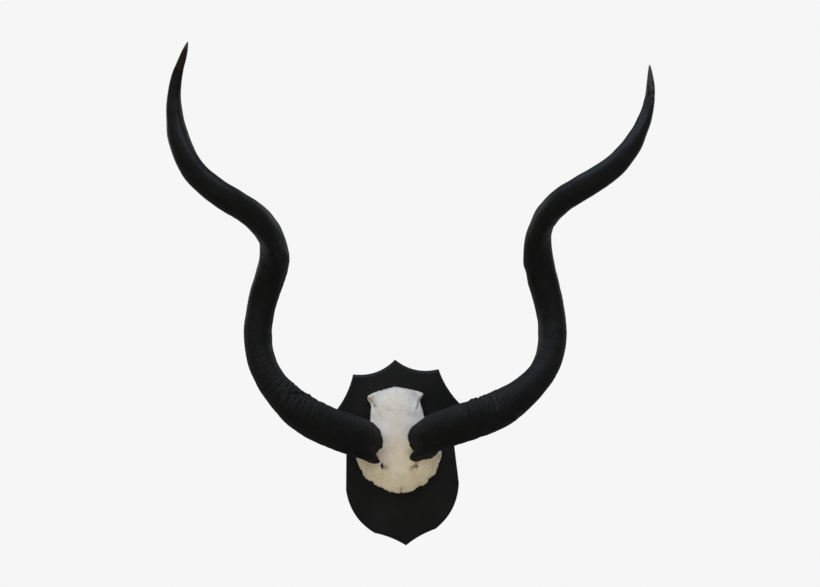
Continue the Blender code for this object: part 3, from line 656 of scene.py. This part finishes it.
# Both are written as the horn on the right, and side -1 mirrors one. Distances run from where the
# centre line leaves the bone, and angles are degrees from the keel.
#   base, splay, lean, rise, coil, turns, start, and the two eases: see horn_line
#   rings: their spacing near the base, the spacing beyond, and where it changes; strong: where they
#   are strongest; slant: how far they lean in 100 degrees; folds: spacing, first, middle, reach, slant
#   tucks: depth, angle, half width; notch: shallow and deep part, far edge; lobe: how pale it is there
#   lumps: distance, angle, height, half length, half width
#   creases: corners (distance, angle), half width, depth; a ridge is below zero, and pale if thin
#   flecks: distance, angle; tip: its length and its edge's blur, and tip_tone its colour
horns = {
    "left": dict(
        side=-1, base=(0.074, -0.078, 0.039), splay=14.5, lean=27.9, rise=0.824,
        coil=(0.0696, 0.0326, 0.0478), turns=1.84, start=-183.0, twist_ease=0.01, rise_ease=0.12,
        rings=(0.008, 0.0106, 0.178), strong=0.206, slant=0.014, seed=41,
        tip=(0.052, 0.008), tip_tone=(36, 28, 23), tucks=((0.0052, 34, 34),), lobe=0.1,
        notch=(0.0045, 0.0085, -9.5), folds=(0.0185, 0.158, 0.16, 0.021, 0.012),
        lumps=((0.576, -40, -0.0022, 0.004, 16), (0.35, 8, -0.0012, 0.004, 16),
               (0.535, -4, 0.002, 0.014, 16), (-0.016, -6, 0.005, 0.012, 8),
               (-0.006, -34, -0.0028, 0.014, 9)),
        creases=((((0.215, 201), (0.211, 192), (0.206, 184), (0.2, 179)), 0.0018, 0.0021),
                 (((0.227, 213), (0.225, 203), (0.223, 190), (0.219, 180)), 0.0016, 0.0015),
                 (((0.24, 206), (0.236, 196), (0.23, 184)), 0.0015, 0.0009),
                 (((0.228, 208), (0.219, 190), (0.207, 178), (0.195, 168), (0.186, 158)), 0.005, -0.0019)),
        flecks=(),
        girth=(1, 14, 20, 12, -2, -2, 1, 1, -5, -3, 7, 6, 2, 4, -9, -4, 4, 11, 25, 15, -8, -15, -3, 0),
        sway=(0, -6, 0, -14, -4, 6, 11, 2, 3, -7, -7, 12,
              23, -2, -23, -9, 13, 19, -15, -24, -3, 22, 10, -6),
    ),
    "right": dict(
        side=1, base=(0.053, -0.078, 0.033), splay=24.0, lean=21.1, rise=0.812,
        coil=(0.078, 0.0519, 0.0324), turns=1.72, start=-195.0, twist_ease=0.13, rise_ease=0.2,
        rings=(0.0096, 0.0072, 0.19), strong=0.18, slant=-0.006, seed=51,
        tip=(0.06, 0.03), tip_tone=(60, 57, 60), tucks=((0.0068, 28, 27), (0.0054, 84, 27)), lobe=0.5,
        notch=(0.0036, 0.0072, -12.5), folds=(0.0235, 0.122, 0.158, 0.034, 0.0),
        lumps=((0.603, -6, -0.0022, 0.004, 16), (0.212, -36, 0.003, 0.005, 16),
               (0.223, -36, -0.003, 0.005, 16), (0.535, -4, 0.0012, 0.014, 16),
               (-0.006, -6, 0.0026, 0.01, 9), (0.0, -70, 0.003, 0.016, 26), (-0.026, 58, -0.001, 0.015, 12)),
        creases=((((0.207, 162), (0.203, 185), (0.199, 215), (0.197, 240), (0.196, 262)), 0.001, -0.0008),
                 (((0.213, 165), (0.209, 185), (0.205, 215), (0.204, 240)), 0.0017, 0.001)),
        flecks=((0.04, -89), (0.055, -71), (0.037, -65)),
        girth=(1, 10, 22, 16, -6, -14, 5, 16, 13, 14, 12, 15, 4, -2, 8, 7, 11, 14, 16, 19, 8, -1, 4, 0),
        sway=(0, -5, -6, -2, -6, 10, 19, 10, 6, -5, -6, 1, 8, 21, 7, -8, 1, 20, 20, 0, -10, 15, 14, -6),
    ),
}


def eased(values, along):
    """A curve through the values at the stations: between two of them a cubic with their mean slopes."""
    values = 0.0001 * np.array(values)
    slopes = np.gradient(values)
    step = horn_stations[1] - horn_stations[0]
    place = np.clip((along - horn_stations[0]) / step, 0, len(values) - 1.001)
    first = place.astype(int)
    u = place - first
    late, between = u * u * (3 - 2 * u), u * (1 - u)
    straight = values[first] * (1 - late) + values[first + 1] * late
    return straight + between * ((1 - u) * slopes[first] - u * slopes[first + 1])


def horn_line(shape, samples=1400, root_samples=60):
    """The centre line from the root to the tip, with its tangents, keel directions and lengths.

    It winds round a splayed and leaning axis: the angle grows by the turns, the radius follows a
    Bezier curve through the coil's three values, and the height grows by the rise. It sways to its
    own side by the sway. The root runs straight on into the bone.
    """
    splay, lean = math.radians(shape["splay"]), math.radians(shape["lean"])
    tall = math.cos(splay)
    axis = np.array((math.sin(splay), -math.sin(lean) * tall, math.cos(lean) * tall))
    beside = unit(np.array((1.0, 0.0, 0.0)) - axis[0] * axis)
    behind = np.cross(axis, beside)

    def outwards(turned):
        return np.cos(turned)[:, None] * beside + np.sin(turned)[:, None] * behind

    t = np.linspace(0, 1, samples)
    early = t * (1 - t)
    wound = shape["turns"] * (t + shape["twist_ease"] * early)
    twist = math.radians(shape["start"]) + 2 * math.pi * wound
    at_base, halfway, at_tip = shape["coil"]
    radius = at_base * (1 - t) ** 2 + 2 * halfway * early + at_tip * t**2
    height = shape["rise"] * (t + shape["rise_ease"] * early)
    line = height[:, None] * axis + radius[:, None] * outwards(twist)
    line += np.array(shape["base"]) - line[0]
    step = np.gradient(line, axis=0)
    over = unit(step[:, [2, 1, 0]] * (1, 0, -1))
    line += eased(shape["sway"], np.cumsum(np.linalg.norm(step, axis=1)))[:, None] * over
    keel = outwards(twist + math.radians(keel_lead))
    length = np.concatenate(((0.0,), np.cumsum(np.linalg.norm(np.diff(line, axis=0), axis=1))))
    back = np.linspace(-horn_root, 0, root_samples, endpoint=False)
    straight = unit(line[1] - line[0])
    line = np.concatenate((line[0] + back[:, None] * straight, line))
    keel = np.concatenate((np.broadcast_to(keel[0], (root_samples, 3)), keel))
    length = np.concatenate((back, length))
    tangents = unit(np.gradient(line, length, axis=0))
    keel = unit(keel - np.sum(keel * tangents, axis=1, keepdims=True) * tangents)
    return line, tangents, keel, length


def horn_radius(shape, along, angle, whole):
    """The radius at a distance along the horn and an angle from the keel, and its marks: worn ring tops, the
    painted shade of its creases, and pale marks.

    An oval that tapers, raised to a keel, with tucks and a notch beside the keel at the base. Growth
    rings are arches |sin|^0.55 between sharp creases, on the side away from the keel. Slanted folds
    |sin|^0.6, single creases, wrinkles |sin|, lumps, unevenness and the step at the tip are added.
    """
    part = held(along / whole)
    diameter = horn_body * (1 - part ** horn_taper[0]) ** horn_taper[1]
    diameter = diameter + horn_flare[0] * np.exp(-part / horn_flare[1])
    radius = 0.5 * diameter / np.sqrt(np.cos(angle) ** 2 + (np.sin(angle) / horn_oval) ** 2)
    keel = keel_height[0] * np.sqrt(np.maximum(1 - part / keel_height[2], 0))
    keel = keel + keel_roll[0] * bell(part, 0, keel_roll[1])
    turn = np.degrees(angle)
    smooth = radius * (1 + keel * bell(angle, 0, keel_height[1])) + eased(shape["girth"], along)
    around = np.stack((smooth * np.cos(angle), smooth * np.sin(angle), along), -1)

    def rough(wavelength, number, points=around):
        return ripples(points, wavelength, shape["seed"] + number)

    def patch(distance, turned, half_length, half_width):
        return bell(along, distance, half_length) * bell(turn, turned, half_width)

    low, end = (held(1 - along / reach) for reach in base_reach)
    before, deepening, power = notch_opens
    open_side = held((turn + before) / deepening) ** power
    shallow, deep, edge = shape["notch"]
    shut_side = held((edge - turn) / notch_shuts)
    groove = (shallow * low + deep * end) * np.minimum(open_side, shut_side * (3 - 2 * shut_side))
    groove = groove + 0.0005 * patch(0.3, -22, 0.25, 7)
    tuck = sum(depth * bell(turn, middle, half_width) for depth, middle, half_width in shape["tucks"])
    tuck = tuck * end * (1 - bell(turn, -12, 10))

    far = turn % 360 - away_side
    place = along + shape["slant"] * far / 100 * bell(along, shape["strong"], 0.03)
    place = place + 0.0016 * rough(0.03, 0)
    early, late, turning = shape["rings"]
    stops = np.linspace(-0.1, 1.1, 1201)  # 1 mm apart
    gap = early + (late - early) / (1 + np.exp(-(stops - turning) / 0.008))
    count = np.interp(place, stops, np.cumsum(0.001 / gap))
    arch = np.abs(np.sin(math.pi * count)) ** 0.55 - 0.78
    side = np.exp(-np.abs(far / (ring_span + 10 * rough(0.05, 1))) ** 3)
    swells = ((ring_depth, shape["strong"], ring_reach), *ring_swells)
    swell = sum(depth * bell(along, distance, reach) for depth, distance, reach in swells)
    rings = swell * side * arch * (0.8 + 0.35 * rough(0.022, 2))

    spacing, first, middle, reach, slant = shape["folds"]
    shifted = along - first + slant * far / 100 + 0.0016 * rough(0.05, 7)
    folds = np.abs(np.sin(math.pi * shifted / spacing))
    folded = bell(along, middle, reach) * np.exp(-((np.abs(far) / fold_span) ** 4))
    rings = rings + fold_depth * folded * (folds**0.6 - 0.6)
    laid = np.radians(turn % 360) * laid_out
    lines = []
    for corners, half_width, depth in shape["creases"]:
        corners = [(distance, math.radians(turned) * laid_out) for distance, turned in corners]
        lines.append((bell(line_distance(along, laid, corners), 0, half_width), half_width, depth))
    rings = rings - sum(depth * line for line, _, depth in lines)
    small = (along + 0.0012 * rough(0.02, 3)) / wrinkle_spacing
    wrinkles = wrinkle_depth * bell(along, wrinkle_middle, wrinkle_reach)
    wrinkles = wrinkles * (np.abs(np.sin(math.pi * small)) - 0.6) * held(1.3 - groove / 0.004)

    uneven = 0.0003 * rough(0.045, 4)
    uneven = uneven + 0.0006 * bell(along, -0.01, 0.022) * rough(0.011, 8)  # the frayed end
    uneven = uneven + 0.0001 * rough(0.008, 5) * np.clip(1.3 - part * 1.5, 0.15, 1)
    crest = bell(turn, 0, 12) * held(1 - part / 0.8) ** 0.5
    crest = crest * (0.00022 * rough(0.016, 6, around * (0.1, 0.1, 1)))
    lumps = sum(
        height * patch(distance, turned, half_length, half_width)
        for distance, turned, height, half_length, half_width in shape["lumps"]
    )
    shrink = held((1 - part) / 0.06)
    change = (-tuck - groove + rings + wrinkles + uneven + crest + lumps) * shrink
    step = tip_step * np.clip((whole - shape["tip"][0] - along) / 0.0012, -1, 0)
    radius = np.maximum(smooth + change + step * shrink, smooth * 0.5)

    worn = held((arch + 0.1) * 4) * side * held(swell / 0.001)
    # Painted shade: dark in the troughs between the rings, in the groove beside the keel, in the troughs of
    # the folds and along the sunken creases.
    crease_shade = held((-0.25 - arch) * 3) * side * held(swell / 0.0008)
    crease_shade = np.maximum(crease_shade, held(groove / 0.005))
    crease_shade = np.maximum(crease_shade, folded * held(1 - folds * 3))
    pale = shape["lobe"] * bell(turn, 24, 38) * end + 0 * along
    for line, half_width, depth in lines:
        if depth > 0:
            crease_shade = np.maximum(crease_shade, min(depth / 0.0018, 1) * line)
        elif half_width < 0.002:
            pale = np.maximum(pale, line)
    for distance, turned in shape["flecks"]:
        pale = pale + fleck_pale * patch(distance, turned, *fleck_size)
    return radius, worn, crease_shade, pale


def horn_surface(shape, rows=790, columns=124):
    """Rows round the horn from where it meets the bone to its tip.

    Each column starts where its straight line along the horn crosses the bone's front, a little
    sunk. A row v goes to the part 0.6 v + 0.4 v^2 of the rest, so rows are closer near the base.
    """
    line, tangents, keel, length = horn_line(shape)
    whole = length[-1]
    side = np.array((shape["side"], 1.0, 1.0))
    angle = np.linspace(-math.pi, math.pi, columns, endpoint=False)

    def at(along):
        spot, tangent, up = (
            np.stack([np.interp(along, length, values[:, axis]) for axis in range(3)], -1)
            for values in (line, tangents, keel)
        )
        across = np.cross(tangent, up)
        radius, *marks = horn_radius(shape, along, angle + 0 * along, whole)
        straight = np.stack((radius * np.cos(angle), radius * np.sin(angle), along), -1)
        around = straight[..., :1] * up + straight[..., 1:2] * across
        return (spot + around) * side, marks, straight

    tried = np.linspace(-horn_root, 0.09, 271)[:, None] + 0 * angle
    places = at(tried)[0]
    front = bone_back - bone_height(places[..., 0] - skull_middle, places[..., 2])
    sunk = places[..., 1] > front
    start = tried[0] + (sunk * (tried[1] - tried[0])).sum(0) - horn_sunk
    start = np.maximum(start, -horn_root)
    start = (np.roll(start, 1) + 2 * start + np.roll(start, -1)) / 4
    v = np.linspace(0, 1, rows)[:, None]
    along = start + (whole * 0.9998 - start) * (0.6 * v + 0.4 * v**2)
    grid, (worn, crease_shade, pale), straight = at(along)
    tip_length, blur = shape["tip"]
    tip = held((along - whole + tip_length) / blur + 0.5 * ripples(straight, 0.01, 61))
    end = held((along - whole + tip_end[0]) / tip_end[1])
    far = along / whole
    return grid, dict(
        worn=worn, crease_shade=crease_shade, pale=pale, straight=straight, tip=tip, end=end, far=far
    )


def keratin(name, tip_tone):
    horn = Finish(name, Specular_IOR_Level=0.16)
    where = horn.places()
    straight = horn.mark("straight", "Vector")
    fibres = horn.noise(horn.stretched(straight, 620, 620, 14), 1.0, 5.0, 0.65)
    threads = horn.noise(horn.stretched(straight, 1500, 1500, 40), 1.0, 3.0, 0.6)
    patches = horn.noise(where, 34.0, 5.0, 0.6)
    specks = horn.noise(where, 300.0, 3.0, 0.6)
    base_end = horn.mark("far").rising(0.55, 0.1)
    horn.feed({
        "Base Color": horn.layers(
            (11, 12, 10),
            (patches.rising(0.35, 0.7), 19, 19, 15),
            (patches.rising(0.62, 0.78) * 0.5, 36, 22, 16),
            (patches.rising(0.4, 0.28) * 0.5, 15, 20, 16),
            (fibres.rising(0.52, 0.8) * base_end * 0.45, 42, 39, 33),
            (horn.mark("worn") * 0.3, 40, 39, 40),
            # painted shade in the creases and the groove
            (horn.mark("crease_shade") * 0.8, 8, 8, 7),
            (horn.mark("pale") * (0.05 + specks * 0.38), 72, 66, 54),
            (specks.rising(0.66, 0.8) * base_end * 0.22, 74, 68, 56),
            (horn.mark("tip") * 0.85, *tip_tone),
            (horn.mark("end") * 0.8, 94, 83, 72),
        ),
        "Roughness": 0.35 + base_end * 0.27 + patches * 0.1,
        "Normal": horn.bump(fibres * 0.6 + threads * 0.25 + specks * 0.15, 0.35, 0.0009),
    })
    return horn


for name, shape in horns.items():
    horn_grid, horn_masks = horn_surface(shape)
    black = keratin("keratin_" + name, shape["tip_tone"])
    horn = skin("horn_" + name + "_keratin", horn_grid, black, horn_masks)
    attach(horn, "root")
    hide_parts("horn_" + name)


# ==== The steel behind ====================================
# Two stamped keyhole plates let into the back of the board on pan-head screws, and three long
# screws that hold the bone from behind. All of it is zinc-plated.

steel_merge = 0.00001  # points of the CAD this near are one
steel_flat = 0.01  # radians: faces that differ by less are one flat
steel_corner = math.radians(30)  # edges sharper than this are eased
steel_ease = 0.00018  # by this width

steel = Finish("zinc_steel", Metallic=1.0)
where = steel.places()
brushed = steel.noise(steel.stretched(where, 2600, 2600, 60), 1.0, 3.0)
spangle = steel.noise(where, 160.0, 3.0)
rust = steel.noise(where, 420.0, 4.0).rising(0.66, 0.74) * spangle.rising(0.5, 0.7)
steel.feed({
    "Base Color": steel.layers(
        (168, 172, 178), (spangle.rising(0.35, 0.7), 190, 190, 186), (rust * 0.6, 112, 74, 48)
    ),
    "Roughness": 0.3 + brushed * 0.18 + rust * 0.3,
    "Normal": steel.bump(brushed, 0.15, 0.0002),
})


def eased_copy(node):
    """A copy of a steel node with its triangles merged, its flats joined and its edges eased."""
    source = bpy.data.objects[node]
    bm = bmesh.new()
    bm.from_mesh(source.data)
    bm.transform(source.matrix_world)
    bmesh.ops.remove_doubles(bm, verts=bm.verts, dist=steel_merge)
    bmesh.ops.dissolve_limit(bm, angle_limit=steel_flat, verts=bm.verts, edges=bm.edges)
    mesh = bpy.data.meshes.new(node + "_steel")
    bm.to_mesh(mesh)
    bm.free()
    mesh.shade_smooth()
    mesh.set_sharp_from_angle(angle=steel_corner)
    piece = add_piece(node + "_steel", mesh, steel)
    easing = piece.modifiers.new("eased", "BEVEL")
    easing.width, easing.segments = steel_ease, 2
    easing.limit_method, easing.angle_limit = "ANGLE", steel_corner
    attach(piece, "root")
    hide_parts(node)


for node in ("hanger_left", "hanger_right"):
    eased_copy(node)
for number in range(1, 5):
    eased_copy(f"hanger_screw_{number}")
for number in range(1, 4):
    eased_copy(f"skull_screw_{number}")


# ==== The room, the lights and the camera =================
# A plain pale room well clear of every view. Cool light as from the sky comes from above, a window
# and a weaker fill light the front without glints, and three soft lamps light the sides and the
# back from behind. The camera has the photograph's viewpoint.

room_half = 4.6  # from its middle to each wall, in metres
room_middle = (0.05, -0.2, 0.28)
camera_place = (-0.08352, -2.31685, 0.31714)
camera_lens = 50.49  # millimetres, on a sensor 36 mm wide
yaw, roll = math.radians(3.0), math.radians(3.3)  # turned to the right, and tipped clockwise

studio = bpy.context.scene
studio.view_settings.view_transform = "Standard"
studio.view_settings.look = "None"

pale_room = Finish(
    "pale_room", Base_Color=(0, 0, 0, 1), Roughness=1.0, Specular_IOR_Level=0.0,
    Emission_Color=colour(246, 246, 246), Emission_Strength=1.0,
)


def room_surface(rows=48, columns=96):
    """A box with rounded corners, from floor to ceiling.

    A direction's distance is the eighth root of the sum of its coordinates' eighth powers, inverted.
    """
    rise = np.linspace(0.01, math.pi - 0.01, rows)[:, None]
    turn = np.linspace(0, 2 * math.pi, columns, endpoint=False)
    level = np.sin(rise)
    way = np.stack((level * np.cos(turn), level * np.sin(turn), -np.cos(rise) + 0 * turn), -1)
    return room_half * way / (np.abs(way) ** 8).sum(-1, keepdims=True) ** (1 / 8) + room_middle


room = skin("room", room_surface(), pale_room)
for kind in ("diffuse", "glossy", "transmission", "shadow"):
    setattr(room, "visible_" + kind, False)

air = bpy.data.worlds.new("air")
studio.world = air
air.use_nodes = True
background = air.node_tree.nodes["Background"].inputs
background["Color"].default_value = (0.92, 0.95, 1.0, 1)
background["Strength"].default_value = 0.26


def soft_light(name, place, aim, size, power, tint, glints=True):
    """A rectangular area light, which glossy surfaces mirror only where it has glints."""
    lamp = bpy.data.lights.new(name, "AREA")
    lamp.shape, lamp.size, lamp.size_y = "RECTANGLE", *size
    lamp.energy, lamp.color = power, tint
    light = bpy.data.objects.new(name, lamp)
    light.location = place
    light.rotation_euler = (Vector(aim) - Vector(place)).to_track_quat("-Z", "Y").to_euler()
    light.visible_camera, light.visible_glossy = False, glints
    studio.collection.objects.link(light)


soft_light("sky", (-0.4, -0.8, 3.2), (0, -0.2, 0.3), (4.4, 2.2), 80.0, (0.58, 0.71, 1.0))
soft_light("window", (-1.8, -2.8, 2.0), (0, -0.1, 0.15), (1.8, 1.8), 53.0, (1.0, 0.955, 0.89), False)
soft_light("fill", (0.6, -4.0, -0.3), (0, -0.1, 0.15), (3.0, 2.4), 48.0, (1.0, 0.95, 0.88), False)
soft_light("skylight", (1.3, -1.5, 2.8), (-0.3, -0.2, 0.4), (1.3, 1.1), 24.0, (0.62, 0.68, 1.0))
soft_light("left_wall", (-2.9, 2.4, 1.7), (0, -0.1, 0.3), (2.0, 2.4), 18.0, (0.9, 0.94, 1.0))
soft_light("right_wall", (3.0, 2.4, 1.7), (0, -0.1, 0.3), (2.0, 2.4), 18.0, (0.9, 0.94, 1.0))
soft_light("behind", (-0.8, 3.2, 1.0), (0, 0, 0.2), (3.0, 2.4), 80.0, (1.0, 0.97, 0.92), False)

camera = bpy.data.objects.new("camera", bpy.data.cameras.new("camera"))
studio.collection.objects.link(camera)
studio.camera = camera
camera.data.sensor_width, camera.data.lens = 36.0, camera_lens
ahead = Vector((math.sin(yaw), math.cos(yaw), 0))
level = Vector((math.cos(yaw), -math.sin(yaw), 0))
upright = Vector((0, 0, 1))
right = level * math.cos(roll) - upright * math.sin(roll)
over = level * math.sin(roll) + upright * math.cos(roll)
turned = Matrix((right, over, -ahead)).transposed()
camera.matrix_world = Matrix.Translation(camera_place) @ turned.to_4x4()
